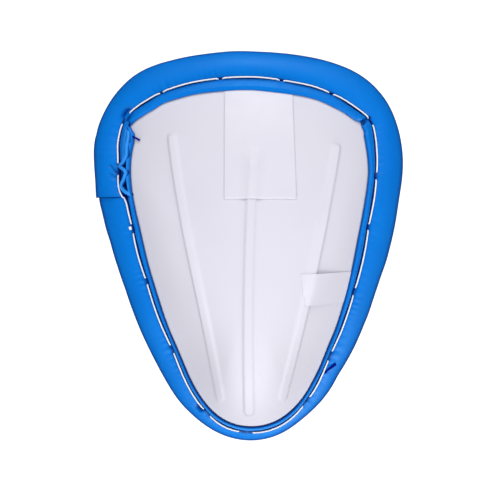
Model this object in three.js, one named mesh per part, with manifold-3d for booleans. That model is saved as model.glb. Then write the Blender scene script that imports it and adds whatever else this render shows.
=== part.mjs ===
// Abdominal guard for sport: a moulded cup with three stiffening ribs, bound round its edge
// by a padded vinyl roll that is sewn through the cup wall, with a front label and a side tag.
// Millimetres, +Z up. The guard lies on its padded rim with its open side down and its waist
// end towards +Y. The origin is on the surface it lies on, under the middle of its outline.

import * as THREE from 'three';
import { mergeVertices } from 'three/addons/utils/BufferGeometryUtils.js';
import Module from 'manifold-3d';

const wasm = await Module();
wasm.setup();

// Driving dimensions

const CROWN = new THREE.Vector3(0, -18, 47); // highest point of the cup's outer face
const FRONT = { across: 0.011, along: 0.0025 }; // fall of the cup's front per square millimetre
const WALL = 2.8; // thickness of the cup wall
const EDGE_REACH = 6.5; // the cup wall runs this far past the stitch line, inside the binding
const GAP = 0.35; // clearance between pieces that lie against each other

const HEM = { back: 5, thick: 1.6, round: 0.6 }; // folded vinyl inside the stitch line
const GROOVE = { thick: 0.8, width: 1.3 }; // where the thread pulls the vinyl down
const WALL_MIDDLE = -WALL / 2; // the roll is centred on the wall

// The binding's ends overlap on the left side, and the upper end lies on top.
const LAP = { y: 20.7, length: 42, extra: 1.2 };

const RIB = { half_width: 2.6, height: 1.2, rooted: 1.2 };
const RIB_ROWS = [
  { name: 'left', top_x: -33.0, top_y: 48.0, foot_x: -13.4, foot_y: -66.0 },
  { name: 'middle', top_x: 0.8, top_y: 33.0, foot_x: 0.6, foot_y: -71.5 },
  { name: 'right', top_x: 37.0, top_y: 43.5, foot_x: 14.6, foot_y: -65.5 },
];

const LABEL = { left: -10.8, right: 19.4, foot: 20.5, thick: 0.5, tent: 9, fade: 5 };
const TAG = { left: 22.6, slant: 0.12, top: -12.3, foot: -25.4, thick: 0.5 };

// The stitch line, from the middle of the waist end down the right side to the foot.
//   x, y    place in plan
//   lift    the roll's underside above the surface; below zero it is pressed flat
//   slope   the wall's angle from level, in degrees
//   length  the roll's length down the wall, past the stitch line
//   thick   the roll's thickness through the wall
//   hem     the hem's width up the front of the wall, inside the stitch line
const RIM_ROWS = [
  { x: 0.0, y: 71.4, lift: 11.0, slope: 34, length: 14.0, thick: 10.6, hem: 6.2 },
  { x: 14.9, y: 70.0, lift: 9.8, slope: 34, length: 14.8, thick: 10.6, hem: 6.0 },
  { x: 29.7, y: 66.2, lift: 6.2, slope: 37, length: 16.0, thick: 10.8, hem: 5.7 },
  { x: 42.9, y: 60.4, lift: 1.8, slope: 42, length: 16.4, thick: 11.2, hem: 5.4 },
  { x: 50.7, y: 50.8, lift: -1.4, slope: 48, length: 17.0, thick: 11.6, hem: 5.0 },
  { x: 53.3, y: 38.2, lift: -0.7, slope: 52, length: 17.6, thick: 12.0, hem: 4.6 },
  { x: 52.2, y: 24.4, lift: 2.6, slope: 54, length: 18.0, thick: 12.2, hem: 4.4 },
  { x: 49.7, y: 10.0, lift: 5.2, slope: 55, length: 17.8, thick: 12.0, hem: 4.3 },
  { x: 46.9, y: -4.4, lift: 6.6, slope: 56, length: 17.0, thick: 11.8, hem: 4.2 },
  { x: 42.7, y: -19.0, lift: 6.6, slope: 57, length: 16.4, thick: 11.6, hem: 4.0 },
  { x: 37.8, y: -33.4, lift: 5.4, slope: 58, length: 15.6, thick: 11.4, hem: 3.7 },
  { x: 31.6, y: -47.8, lift: 3.0, slope: 60, length: 14.8, thick: 11.0, hem: 3.3 },
  { x: 23.6, y: -62.8, lift: 0.8, slope: 64, length: 13.6, thick: 10.2, hem: 3.0 },
  { x: 13.0, y: -74.2, lift: -0.7, slope: 69, length: 12.6, thick: 9.2, hem: 3.2 },
  { x: 0.0, y: -77.7, lift: -1.0, slope: 71, length: 12.4, thick: 8.8, hem: 3.6 },
];

// Fineness of the faceted solids

const STATIONS = 64; // round the rim
const LAP_STEP = 0.02; // half the way along the rim that the step at the overlap takes, in rows
const FINE = 720; // samples of the rim that the height of the cup is looked up in
const RINGS = [0, 0.15, 0.3, 0.45, 0.6, 0.73, 0.84, 0.93, 1]; // crown to stitch line
const ROLL_STEPS = 10; // round the roll's section
const ROLL_START = (150 * Math.PI) / 180; // where the roll's section leaves the groove
const RIB_STEPS = 16;
const SHEET_STEPS = 10;
const SPLINE_PASSES = 60;
const NUDGE = 0.01; // step of the finite differences

// The rim as a closed curve

const rimRows = [
  ...RIM_ROWS,
  ...RIM_ROWS.slice(1, -1)
    .reverse()
    .map((row) => ({ ...row, x: -row.x })),
];

// A closed cubic spline through values one step apart, smooth in slope and bend.
function closedSpline(values) {
  const n = values.length;
  const before = (i) => (i + n - 1) % n;
  const after = (i) => (i + 1) % n;
  let bend = values.map(() => 0);
  for (let pass = 0; pass < SPLINE_PASSES; pass++) {
    bend = bend.map((_, i) => {
      const turn = 6 * (values[before(i)] - 2 * values[i] + values[after(i)]);
      return (turn - bend[before(i)] - bend[after(i)]) / 4;
    });
  }
  return (t) => {
    const i = ((Math.floor(t) % n) + n) % n;
    const w = t - Math.floor(t);
    const v = 1 - w;
    const straight = v * values[i] + w * values[after(i)];
    return straight + ((v ** 3 - v) * bend[i] + (w ** 3 - w) * bend[after(i)]) / 6;
  };
}

const rim = {};
for (const column of Object.keys(RIM_ROWS[0])) {
  rim[column] = closedSpline(rimRows.map((row) => row[column]));
}

// How far the roll's underside is below the stitch line, for a wall at this slope.
function rollDrop(slope, length, thick) {
  const halfLength = length / 2;
  const reach = Math.hypot(halfLength * Math.sin(slope), (thick / 2) * Math.cos(slope));
  return halfLength * Math.sin(slope) - WALL_MIDDLE * Math.cos(slope) + reach;
}

function stitchHeight(t) {
  const slope = THREE.MathUtils.degToRad(rim.slope(t));
  return rim.lift(t) + rollDrop(slope, rim.length(t), rim.thick(t));
}

// Everything known about the wall at one place on the rim.
function stationAt(t) {
  const slope = THREE.MathUtils.degToRad(rim.slope(t));
  const stitch = new THREE.Vector3(rim.x(t), rim.y(t), stitchHeight(t));
  const step = new THREE.Vector2(
    rim.x(t + NUDGE) - rim.x(t - NUDGE),
    rim.y(t + NUDGE) - rim.y(t - NUDGE),
  );
  const climb = (stitchHeight(t + NUDGE) - stitchHeight(t - NUDGE)) / step.length();
  const along = step.clone().normalize();
  const outward = new THREE.Vector2(-along.y, along.x);
  // The gradient falls outwards by the slope and follows the rim's own rise along it.
  const gradient = outward.clone().multiplyScalar(-Math.tan(slope)).addScaledVector(along, climb);
  const normal = new THREE.Vector3(-gradient.x, -gradient.y, 1).normalize();
  const tangent = new THREE.Vector3(along.x, along.y, climb).normalize();
  const down = new THREE.Vector3().crossVectors(normal, tangent);
  const ray = new THREE.Vector2(stitch.x - CROWN.x, stitch.y - CROWN.y);
  const drop = CROWN.z - stitch.z;
  const steepness = -gradient.dot(ray) / drop;
  return {
    stitch,
    normal,
    down,
    drop,
    steepness,
    ray,
    bearing: Math.atan2(ray.x, ray.y),
    length: rim.length(t),
    thick: rim.thick(t),
    hem: rim.hem(t),
  };
}

// The place on the left side where the rim is this far up.
function leftPlace(y) {
  let low = RIM_ROWS.length - 1;
  let high = rimRows.length;
  for (let pass = 0; pass < SPLINE_PASSES; pass++) {
    const middle = (low + high) / 2;
    if (rim.y(middle) < y) {
      low = middle;
    } else {
      high = middle;
    }
  }
  return low;
}

// Places on the rim, evenly spaced along it.
function evenPlaces(count) {
  const fine = Array.from({ length: FINE + 1 }, (_, i) => (i * rimRows.length) / FINE);
  const points = fine.map((t) => new THREE.Vector3(rim.x(t), rim.y(t), stitchHeight(t)));
  const travelled = [0];
  points.slice(1).forEach((point, i) => travelled.push(travelled[i] + point.distanceTo(points[i])));
  const total = travelled[FINE];
  return Array.from({ length: count }, (_, k) => {
    const want = (k * total) / count;
    const i = travelled.findIndex((far, j) => j > 0 && far >= want) - 1;
    const share = (want - travelled[i]) / (travelled[i + 1] - travelled[i]);
    return THREE.MathUtils.lerp(fine[i], fine[i + 1], share);
  });
}

// The cup's outer face

const FULLEST = 0.85; // the most of a meridian's fall that its steep part may take
const ROUND_POWER = 4;

// How far a meridian has fallen at a share of its way to the stitch line, as a share of its drop.
function fall(share, steepness) {
  if (share > 1) {
    return 1 + (share - 1) * steepness;
  }
  const power = Math.max(ROUND_POWER, 2 + (steepness - 2) / FULLEST);
  const steep = (steepness - 2) / (power - 2);
  return (1 - steep) * share ** 2 + steep * share ** power;
}

const lookup = Array.from({ length: FINE }, (_, i) => stationAt((i * rimRows.length) / FINE));
lookup.sort((a, b) => a.bearing - b.bearing);

// Height of the outer face over a place in plan: a flattish front that runs over into the walls.
function cupHeight(x, y) {
  const ray = new THREE.Vector2(x - CROWN.x, y - CROWN.y);
  const bearing = Math.atan2(ray.x, ray.y);
  const next = lookup.findIndex((station) => station.bearing >= bearing);
  const b = lookup[Math.max(next, 0)];
  const a = lookup[next > 0 ? next - 1 : FINE - 1];
  const span = THREE.MathUtils.euclideanModulo(b.bearing - a.bearing, 2 * Math.PI);
  const share = THREE.MathUtils.euclideanModulo(bearing - a.bearing, 2 * Math.PI) / span;
  const mixed = (value) => THREE.MathUtils.lerp(value(a), value(b), share);
  const reach = ray.length() / mixed((station) => station.ray.length());
  const steepness = mixed((station) => station.steepness);
  const front = FRONT.across * ray.x ** 2 + FRONT.along * ray.y ** 2;
  const wall = mixed((station) => station.drop) * fall(reach, steepness);
  return CROWN.z - THREE.MathUtils.lerp(front, wall, THREE.MathUtils.smoothstep(reach, 0, 1));
}

function cupNormal(x, y) {
  const east = cupHeight(x + NUDGE, y) - cupHeight(x - NUDGE, y);
  const north = cupHeight(x, y + NUDGE) - cupHeight(x, y - NUDGE);
  return new THREE.Vector3(-east, -north, 2 * NUDGE).normalize();
}

// A point at a height over the outer face, measured square to it.
function overCup(x, y, height) {
  return new THREE.Vector3(x, y, cupHeight(x, y)).addScaledVector(cupNormal(x, y), height);
}

// Solids lofted through loops of points; a loop drawn together to a point or a line closes an end

function loft(loops, closed = false) {
  const count = loops[0].length;
  const index = [];
  const last = closed ? loops.length : loops.length - 1;
  for (let i = 0; i < last; i++) {
    for (let j = 0; j < count; j++) {
      const here = i * count;
      const there = ((i + 1) % loops.length) * count;
      const next = (j + 1) % count;
      index.push(here + j, here + next, there + next, here + j, there + next, there + j);
    }
  }
  const geometry = new THREE.BufferGeometry();
  geometry.setFromPoints(loops.flat());
  geometry.setIndex(index);
  const merged = mergeVertices(geometry, 1e-4);
  const kept = [];
  for (let i = 0; i < merged.index.count; i += 3) {
    const corners = [0, 1, 2].map((k) => merged.index.getX(i + k));
    if (new Set(corners).size === 3) {
      kept.push(...corners);
    }
  }
  merged.setIndex(kept);
  return merged;
}

function toSolid(geometry) {
  return new wasm.Manifold(
    new wasm.Mesh({
      numProp: 3,
      vertProperties: new Float32Array(geometry.attributes.position.array),
      triVerts: new Uint32Array(geometry.index.array),
    }),
  );
}

function toGeometry(solid) {
  const mesh = solid.getMesh();
  const geometry = new THREE.BufferGeometry();
  geometry.setAttribute('position', new THREE.BufferAttribute(mesh.vertProperties, 3));
  geometry.setIndex(new THREE.BufferAttribute(mesh.triVerts, 1));
  return geometry;
}

// A thin sheet between two faces, given as rows of points; each row makes one loop.
function sheet(upperRows, lowerRows) {
  const middle = (i) => upperRows[i].map((point, j) => point.clone().lerp(lowerRows[i][j], 0.5));
  const around = (upper, lower) => [...upper, ...[...lower].reverse()];
  const loops = upperRows.map((upper, i) => around(upper, lowerRows[i]));
  const start = middle(0);
  const end = middle(upperRows.length - 1);
  return loft([around(start, start), ...loops, around(end, end)]);
}

// The cup, with its ribs moulded in one with it

function ribGeometry(row) {
  const top = new THREE.Vector2(row.top_x, row.top_y);
  const foot = new THREE.Vector2(row.foot_x, row.foot_y);
  const way = foot.clone().sub(top);
  const side = new THREE.Vector2(-way.y, way.x).normalize();
  const profile = [
    { across: 1, up: -RIB.rooted },
    { across: 1, up: 0.1 * RIB.height },
    { across: 0.75, up: 0.8 * RIB.height },
    { across: 0.35, up: RIB.height },
    { across: -0.35, up: RIB.height },
    { across: -0.75, up: 0.8 * RIB.height },
    { across: -1, up: 0.1 * RIB.height },
    { across: -1, up: -RIB.rooted },
  ];
  // Its ends are rounded off over the rib's own half width.
  const rounding = RIB.half_width / way.length();
  const ends = [0, 0.15 * rounding, 0.5 * rounding, rounding];
  const inner = RIB_STEPS - 1;
  const shares = [
    ...ends,
    ...Array.from({ length: inner }, (_, i) => (i + 1) / RIB_STEPS),
    ...ends.map((share) => 1 - share).reverse(),
  ];
  const loops = shares.map((share) => {
    const toEnd = Math.min(share, 1 - share) / rounding;
    const full = toEnd >= 1 ? 1 : Math.sqrt(1 - (1 - toEnd) ** 2);
    const centre = top.clone().lerp(foot, share);
    return profile.map(({ across, up }) => {
      const place = centre.clone().addScaledVector(side, across * full * RIB.half_width);
      return overCup(place.x, place.y, up);
    });
  });
  const closing = (loop) => loop.map(() => loop[0].clone().lerp(loop[loop.length - 1], 0.5));
  return loft([closing(loops[0]), ...loops.slice(1, -1), closing(loops[loops.length - 1])]);
}

const lapPlace = leftPlace(LAP.y);
const places = [...evenPlaces(STATIONS), lapPlace - LAP_STEP, lapPlace + LAP_STEP];
const stations = places.sort((a, b) => a - b).map(stationAt);

function cupGeometry() {
  const outer = RINGS.map((share) =>
    stations.map(({ ray }) => {
      const x = CROWN.x + share * ray.x;
      const y = CROWN.y + share * ray.y;
      return { face: overCup(x, y, 0), back: overCup(x, y, -WALL) };
    }),
  );
  const faces = outer.map((ring) => ring.map((point) => point.face));
  const backs = outer.map((ring) => ring.map((point) => point.back));
  const rimFace = stations.map((s) => s.stitch.clone());
  const rimBack = stations.map((s) => s.stitch.clone().addScaledVector(s.normal, -WALL));
  faces[faces.length - 1] = rimFace;
  backs[backs.length - 1] = rimBack;
  const edgeFace = stations.map((s, i) => rimFace[i].clone().addScaledVector(s.down, EDGE_REACH));
  const edgeBack = stations.map((s, i) => rimBack[i].clone().addScaledVector(s.down, EDGE_REACH));
  const cup = loft([...faces, edgeFace, edgeBack, ...backs.reverse()]);
  return toGeometry(RIB_ROWS.reduce((solid, row) => solid.add(toSolid(ribGeometry(row))), toSolid(cup)));
}

// The padded binding: a folded hem on each face of the wall, and the roll past the stitch line

// The overlap thickens the roll: fully at the upper end's edge, fading out above it.
function lapExtra({ stitch }) {
  const above = stitch.x < 0 ? stitch.y - LAP.y : -1;
  return above < 0 || above > LAP.length ? 0 : LAP.extra * (1 - above / LAP.length) ** 0.5;
}

function wallPoint({ stitch, down, normal }, place) {
  return stitch.clone().addScaledVector(down, place.down).addScaledVector(normal, place.out);
}

// How far the wall has bent in from its line at the stitches, at a distance up from them.
function wallBend(station, up) {
  const onLine = wallPoint(station, { down: -up, out: 0 });
  return overCup(onLine.x, onLine.y, 0).sub(onLine).dot(station.normal);
}

// Section in the wall's own frame: distance down the wall from the stitches, and out from its face.
function bindingSection(station) {
  const extra = lapExtra(station);
  const halfLength = (station.length + extra) / 2;
  const halfThick = station.thick / 2 + extra;
  const front = GAP;
  const back = -WALL - GAP;
  const frontHem = front + wallBend(station, station.hem);
  const backHem = back + wallBend(station, HEM.back);
  const roll = Array.from({ length: ROLL_STEPS + 1 }, (_, i) => {
    const angle = ROLL_START * (1 - (2 * i) / ROLL_STEPS);
    return {
      down: halfLength * (1 + Math.cos(angle)),
      out: WALL_MIDDLE + halfThick * Math.sin(angle),
    };
  });
  return [
    { down: -station.hem, out: frontHem },
    { down: -station.hem, out: frontHem + HEM.thick - HEM.round },
    { down: -station.hem + HEM.round, out: frontHem + HEM.thick },
    { down: -GROOVE.width, out: front + HEM.thick },
    { down: 0, out: front + GROOVE.thick },
    ...roll,
    { down: 0, out: back - GROOVE.thick },
    { down: -GROOVE.width, out: back - HEM.thick },
    { down: -HEM.back + HEM.round, out: backHem - HEM.thick },
    { down: -HEM.back, out: backHem - HEM.thick + HEM.round },
    { down: -HEM.back, out: backHem },
    { down: 0, out: back },
    { down: EDGE_REACH + GAP, out: back },
    { down: EDGE_REACH + GAP, out: front },
    { down: 0, out: front },
  ];
}

function bindingGeometry() {
  const loops = stations.map((station) =>
    bindingSection(station).map((place) => {
      const point = wallPoint(station, place);
      point.z = Math.max(point.z, 0); // pressed flat where the guard rests
      return point;
    }),
  );
  return loft(loops.reverse(), true);
}

// The sewn-in label and tag, which lie over the ribs and end at the hem

const hemEdge = lookup.map((station) => wallPoint(station, { down: -station.hem, out: 0 }));

// The hem's inner edge nearest to a place, read along one axis.
function hemAt(axis, other, value, side) {
  const near = hemEdge.filter((point) => point[other] * side > 0);
  near.sort((a, b) => Math.abs(a[axis] - value) - Math.abs(b[axis] - value));
  return near[0][other];
}

function ribCentre(row, y) {
  const share = (y - row.top_y) / (row.foot_y - row.top_y);
  return THREE.MathUtils.lerp(row.top_x, row.foot_x, share);
}

const steps = Array.from({ length: SHEET_STEPS + 1 }, (_, i) => i / SHEET_STEPS);
const evenly = (from, to) => steps.map((share) => THREE.MathUtils.lerp(from, to, share));

// The label is stretched over the top of the middle rib like a tent.
function labelLift(x, y) {
  const rib = RIB_ROWS[1];
  const flank = (LABEL.tent - Math.abs(x - ribCentre(rib, y))) / (LABEL.tent - RIB.half_width);
  const beyond = (rib.top_y + LABEL.fade - y) / LABEL.fade;
  const tent = THREE.MathUtils.clamp(flank, 0, 1) * THREE.MathUtils.clamp(beyond, 0, 1);
  return GAP + RIB.height * tent;
}

function labelGeometry() {
  const rows = (height) =>
    evenly(LABEL.left, LABEL.right).map((x) =>
      evenly(LABEL.foot, hemAt('x', 'y', x, 1) - 2 * GAP).map((y) =>
        overCup(x, y, labelLift(x, y) + height),
      ),
    );
  return sheet(rows(0), rows(LABEL.thick));
}

// The tag lies on the right rib and comes down to the wall at the hem.
function tagLift(x, y, end) {
  const crest = ribCentre(RIB_ROWS[2], y) + RIB.half_width;
  const share = THREE.MathUtils.clamp((end - x) / (end - crest), 0, 1);
  return GAP + RIB.height * share;
}

function tagGeometry() {
  const rows = (height) =>
    evenly(TAG.foot, TAG.top).map((y) => {
      const end = hemAt('y', 'x', y, 1) - 2 * GAP;
      const start = TAG.left + TAG.slant * (TAG.top - y);
      return evenly(start, end).map((x) => overCup(x, y, tagLift(x, y, end) + height));
    });
  return sheet(rows(TAG.thick), rows(0));
}

// Assembly

const white = new THREE.MeshStandardMaterial({ color: 0xe7e5ee, roughness: 0.35, metalness: 0 });
const film = new THREE.MeshStandardMaterial({ color: 0xecebf0, roughness: 0.45, metalness: 0 });
const blue = new THREE.MeshStandardMaterial({ color: 0x0a78dc, roughness: 0.5, metalness: 0 });

function piece(name, geometry, material) {
  const mesh = new THREE.Mesh(geometry, material);
  mesh.name = name;
  return mesh;
}

const guard = new THREE.Group();
guard.add(
  piece('cup', cupGeometry(), white),
  piece('padded_binding', bindingGeometry(), blue),
  piece('front_label', labelGeometry(), film),
  piece('side_tag', tagGeometry(), film),
);

export default guard;
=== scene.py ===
"""Looks of the abdominal guard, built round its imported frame.

A moulded cup with three ribs, a padded vinyl binding sewn round its edge, a film label, a film tag,
the sewing thread with its knot, the ruffled end of the hem, and loose thread ends. Sizes are
millimetres in the guard's own frame until a mesh is made, where MM turns them into metres.
"""

import math
from types import SimpleNamespace

import bpy
import numpy as np
from mathutils.geometry import delaunay_2d_cdt
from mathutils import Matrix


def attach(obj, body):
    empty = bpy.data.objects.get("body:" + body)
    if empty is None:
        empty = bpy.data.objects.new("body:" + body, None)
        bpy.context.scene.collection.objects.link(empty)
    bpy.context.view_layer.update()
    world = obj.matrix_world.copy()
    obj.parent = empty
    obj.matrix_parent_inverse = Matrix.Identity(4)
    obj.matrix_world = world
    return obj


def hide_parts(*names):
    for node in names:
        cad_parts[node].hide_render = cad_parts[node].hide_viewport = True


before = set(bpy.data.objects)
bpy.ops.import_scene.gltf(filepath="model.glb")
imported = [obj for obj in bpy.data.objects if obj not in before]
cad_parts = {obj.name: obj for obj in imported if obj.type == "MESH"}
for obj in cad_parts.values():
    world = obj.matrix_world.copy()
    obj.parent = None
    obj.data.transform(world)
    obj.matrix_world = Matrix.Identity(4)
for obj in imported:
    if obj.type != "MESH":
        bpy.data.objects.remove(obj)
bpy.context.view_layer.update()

MM = 0.001
BODY = "root"

# Sizes that the solids share

CROWN = np.array([0.0, -18.0, 47.0])  # highest point of the cup's outer face
FRONT_ACROSS, FRONT_ALONG = 0.011, 0.0025  # fall of the cup's front per square millimetre
FULLEST = 0.85  # the most of a meridian's fall that its steep part may take
ROUND_POWER = 4
WALL = 2.8
WALL_MIDDLE = -WALL / 2
EDGE_REACH = 6.5  # the wall runs this far past the stitch line, inside the binding
GAP = 0.35
CLEAR = 0.15  # the least height of soft pieces over the cup

# The stitch line, from the middle of the waist end down the right side to the foot
RIM_COLUMNS = ("x", "y", "lift", "slope", "length", "thick", "hem")
RIM_ROWS = [
    (0.0, 71.4, 11.0, 34, 14.0, 10.6, 6.9),
    (14.9, 70.0, 9.8, 34, 14.8, 10.6, 6.6),
    (29.7, 66.2, 6.2, 37, 16.0, 10.8, 5.7),
    (42.9, 60.4, 1.8, 42, 16.4, 11.2, 5.4),
    (50.7, 50.8, -1.4, 48, 17.0, 11.6, 4.8),
    (53.3, 38.2, -0.7, 52, 17.6, 12.0, 4.6),
    (52.2, 24.4, 2.6, 54, 18.0, 12.2, 4.0),
    (49.7, 10.0, 5.2, 55, 17.8, 12.0, 3.9),
    (46.9, -4.4, 6.6, 56, 17.0, 11.8, 3.9),
    (42.7, -19.0, 6.6, 57, 16.4, 11.6, 3.7),
    (37.8, -33.4, 5.4, 58, 15.6, 11.4, 3.2),
    (31.6, -47.8, 3.0, 60, 14.8, 11.0, 2.9),
    (23.6, -62.8, 0.8, 64, 13.6, 10.2, 2.6),
    (13.0, -74.2, -0.7, 69, 12.6, 9.2, 2.9),
    (0.0, -77.7, -1.0, 71, 12.4, 8.8, 3.1),
]

# How the sewn rim strays from a mirrored shape, row by row: the stitch line's way outward on the
# right and on the left, and how much further the roll swells outward on the right and on the left
STRAY_ROWS = [
    (-0.1, -0.1, -0.1, -0.1),
    (-0.2, 0.4, 0.1, -0.4),
    (-0.2, 1.0, 0.5, 0.0),
    (-0.8, 0.9, 1.1, 0.4),
    (-0.6, 0.8, 0.6, 0.2),
    (-0.8, 0.5, 1.4, 0.4),
    (-0.5, 0.4, 1.2, -0.2),
    (-0.4, -0.4, 1.7, 1.3),
    (-0.3, -1.0, 1.6, 1.3),
    (0.4, -1.2, 0.7, 1.6),
    (0.5, -1.4, 0.4, 1.9),
    (1.0, -1.4, -0.1, 2.0),
    (1.1, -0.6, -1.1, 1.4),
    (0.4, -0.2, -0.2, 0.1),
    (0.3, 0.3, 0.2, 0.2),
]
GENTLE, STEEP = 34, 71  # the wall's slope at the waist and at the foot, in degrees

# Ribs, each along a line in plan that bows and sways a little aside. Its top leans up towards +X.
# Flat and foot are the ways from its middle line to where it starts and ends to fall. Fade is the
# share of its height that it loses towards its lower end.
RIB_COLUMNS = ("top_x", "top_y", "foot_x", "foot_y", "lean", "bow", "sway", "flat", "foot", "fade")
RIB_ROWS = {
    "left": (-33.0, 45.5, -12.6, -64.6, -0.17, -0.7, -0.55, 0.9, 2.4, 0.55),
    "middle": (1.3, 33.0, -0.3, -70.0, -0.08, -1.1, 0.0, 1.2, 2.9, 0.1),
    "right": (36.4, 41.3, 13.8, -64.2, 0.27, 1.3, 0.1, 0.9, 2.4, 0.55),
}
ribs = {name: SimpleNamespace(**dict(zip(RIB_COLUMNS, row))) for name, row in RIB_ROWS.items()}
RIB_HEIGHT = 1.0
RIB_FADES_AT = 0.55  # the share of a rib's length where its fading starts
LEAN_FADE = 1.6  # a fading rib loses this much more of its lean than of its height

FINE = 2880  # samples of the rim that heights and distances are looked up in
NUDGE = 0.01

# The rim as a closed curve


def closed_spline(values):
    """A closed cubic spline through values one step apart, smooth in slope and bend."""
    values = np.asarray(values, float)
    count = len(values)
    one = np.eye(count)
    system = 4 * one + np.roll(one, 1, 0) + np.roll(one, -1, 0)
    turn = 6 * (np.roll(values, 1) - 2 * values + np.roll(values, -1))
    bend = np.linalg.solve(system, turn)

    def at(t):
        whole = np.floor(t).astype(int)
        w = t - whole
        v = 1 - w
        i, j = whole % count, (whole + 1) % count
        return v * values[i] + w * values[j] + ((v**3 - v) * bend[i] + (w**3 - w) * bend[j]) / 6

    return at


def rim_columns():
    """The closed rim's columns, right side and mirrored left side, with their strays."""
    mirrored = [(-row[0], *row[1:]) for row in RIM_ROWS[-2:0:-1]]
    columns = dict(zip(RIM_COLUMNS, np.array(RIM_ROWS + mirrored, float).T))
    stray = np.array(STRAY_ROWS)
    outward = np.concatenate([stray[:, 0], stray[-2:0:-1, 1]])
    columns["swell"] = np.concatenate([stray[:, 2], stray[-2:0:-1, 3]])
    step_x = np.roll(columns["x"], -1) - np.roll(columns["x"], 1)
    step_y = np.roll(columns["y"], -1) - np.roll(columns["y"], 1)
    size = np.hypot(step_x, step_y)
    columns["x"] = columns["x"] - outward * step_y / size
    columns["y"] = columns["y"] + outward * step_x / size
    return columns


rim = {name: closed_spline(column) for name, column in rim_columns().items()}
RIM_COUNT = 2 * len(RIM_ROWS) - 2


def ramp(low, high, value):
    """The share of the way from low to high that a value is at, kept between 0 and 1."""
    return np.clip((value - low) / (high - low), 0, 1)


def smoothstep(low, high, value):
    """The same with a gentle start and end."""
    share = ramp(low, high, value)
    return share * share * (3 - 2 * share)


def unit(vectors):
    return vectors / np.linalg.norm(vectors, axis=-1, keepdims=True)


def stitch_height(t):
    """The stitch line's height: the roll's lift, and how far its underside is below the stitches."""
    slope = np.radians(rim["slope"](t))
    half_length, half_thick = rim["length"](t) / 2, rim["thick"](t) / 2
    reach = np.hypot(half_length * np.sin(slope), half_thick * np.cos(slope))
    return rim["lift"](t) + half_length * np.sin(slope) - WALL_MIDDLE * np.cos(slope) + reach


def stations_at(t):
    """Everything known about the wall at these places on the rim."""
    ahead, behind = t + NUDGE, t - NUDGE
    step = np.stack([rim["x"](ahead) - rim["x"](behind), rim["y"](ahead) - rim["y"](behind)], 1)
    size = np.linalg.norm(step, axis=1)
    climb = (stitch_height(ahead) - stitch_height(behind)) / size
    along = step / size[:, None]
    outward = np.stack([-along[:, 1], along[:, 0]], 1)
    slope = np.radians(rim["slope"](t))
    gradient = -np.tan(slope)[:, None] * outward + climb[:, None] * along
    normal = unit(np.concatenate([-gradient, np.ones((len(t), 1))], 1))
    tangent = unit(np.concatenate([along, climb[:, None]], 1))
    stitch = np.stack([rim["x"](t), rim["y"](t), stitch_height(t)], 1)
    ray = stitch[:, :2] - CROWN[:2]
    drop = CROWN[2] - stitch[:, 2]
    return SimpleNamespace(
        t=t,
        stitch=stitch,
        normal=normal,
        tangent=tangent,
        down=np.cross(normal, tangent),
        ray=ray,
        drop=drop,
        steepness=-(gradient * ray).sum(1) / drop,
        outward=np.concatenate([outward, np.zeros((len(t), 1))], 1),
        slope=slope,
        steep=(np.degrees(slope) - GENTLE) / (STEEP - GENTLE),
        length=rim["length"](t),
        thick=rim["thick"](t),
        hem=rim["hem"](t),
        swell=rim["swell"](t),
    )


fine = stations_at(np.arange(FINE) * RIM_COUNT / FINE)
fine_steps = np.linalg.norm(np.roll(fine.stitch, -1, 0) - fine.stitch, axis=1)
fine_travel = np.concatenate([[0], np.cumsum(fine_steps)])
PERIMETER = fine_travel[-1]


def place_at(travel):
    """The place on the rim that is this far along it."""
    marks = np.arange(FINE + 1) * RIM_COUNT / FINE
    return np.interp(travel % PERIMETER, fine_travel, marks)


def travel_at(bearing):
    """How far along the rim the stitch line has this bearing, in degrees from +X towards +Y."""
    bearings = np.degrees(np.arctan2(fine.stitch[:, 1], fine.stitch[:, 0]))
    turned = (90 - bearings) % 360
    order = np.argsort(turned)
    return np.interp((90 - np.asarray(bearing, float)) % 360, turned[order], fine_travel[:-1][order])


def apart(travel, other):
    """Signed way along the closed rim from the other place."""
    return (travel - other + PERIMETER / 2) % PERIMETER - PERIMETER / 2


# The cup's outer face

crown_bearing = np.arctan2(fine.ray[:, 1], fine.ray[:, 0])
crown_order = np.argsort(crown_bearing)


def by_bearing(bearing, column):
    return np.interp(bearing, crown_bearing[crown_order], column[crown_order], period=2 * np.pi)


def fall(share, steepness):
    """How far a meridian has fallen at a share of its way to the stitch line."""
    power = np.maximum(ROUND_POWER, 2 + (steepness - 2) / FULLEST)
    steep = (steepness - 2) / (power - 2)
    inside = (1 - steep) * share**2 + steep * share**power
    return np.where(share > 1, 1 + (share - 1) * steepness, inside)


def cup_height(x, y):
    """Height of the outer face: a flattish front that runs over into the walls."""
    dx, dy = x - CROWN[0], y - CROWN[1]
    bearing = np.arctan2(dy, dx)
    share = np.hypot(dx, dy) / by_bearing(bearing, np.linalg.norm(fine.ray, axis=1))
    front = FRONT_ACROSS * dx**2 + FRONT_ALONG * dy**2
    wall = by_bearing(bearing, fine.drop) * fall(share, by_bearing(bearing, fine.steepness))
    blend = smoothstep(0, 1, share)
    return CROWN[2] - (1 - blend) * front - blend * wall


def over_cup(x, y, height):
    """Points at a height over the outer face, measured square to it."""
    east = (cup_height(x + NUDGE, y) - cup_height(x - NUDGE, y)) / (2 * NUDGE)
    north = (cup_height(x, y + NUDGE) - cup_height(x, y - NUDGE)) / (2 * NUDGE)
    normal = unit(np.stack([-east, -north, np.ones_like(east)], -1))
    return np.stack([x, y, cup_height(x, y)], -1) + np.asarray(height)[..., None] * normal


def clear_of_cup(points):
    """Points lifted where they would cut into the cup's outer face."""
    lowest = cup_height(points[..., 0], points[..., 1]) + CLEAR
    lifted = np.maximum(points[..., 2], lowest)
    return np.concatenate([points[..., :2], lifted[..., None]], -1)


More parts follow.
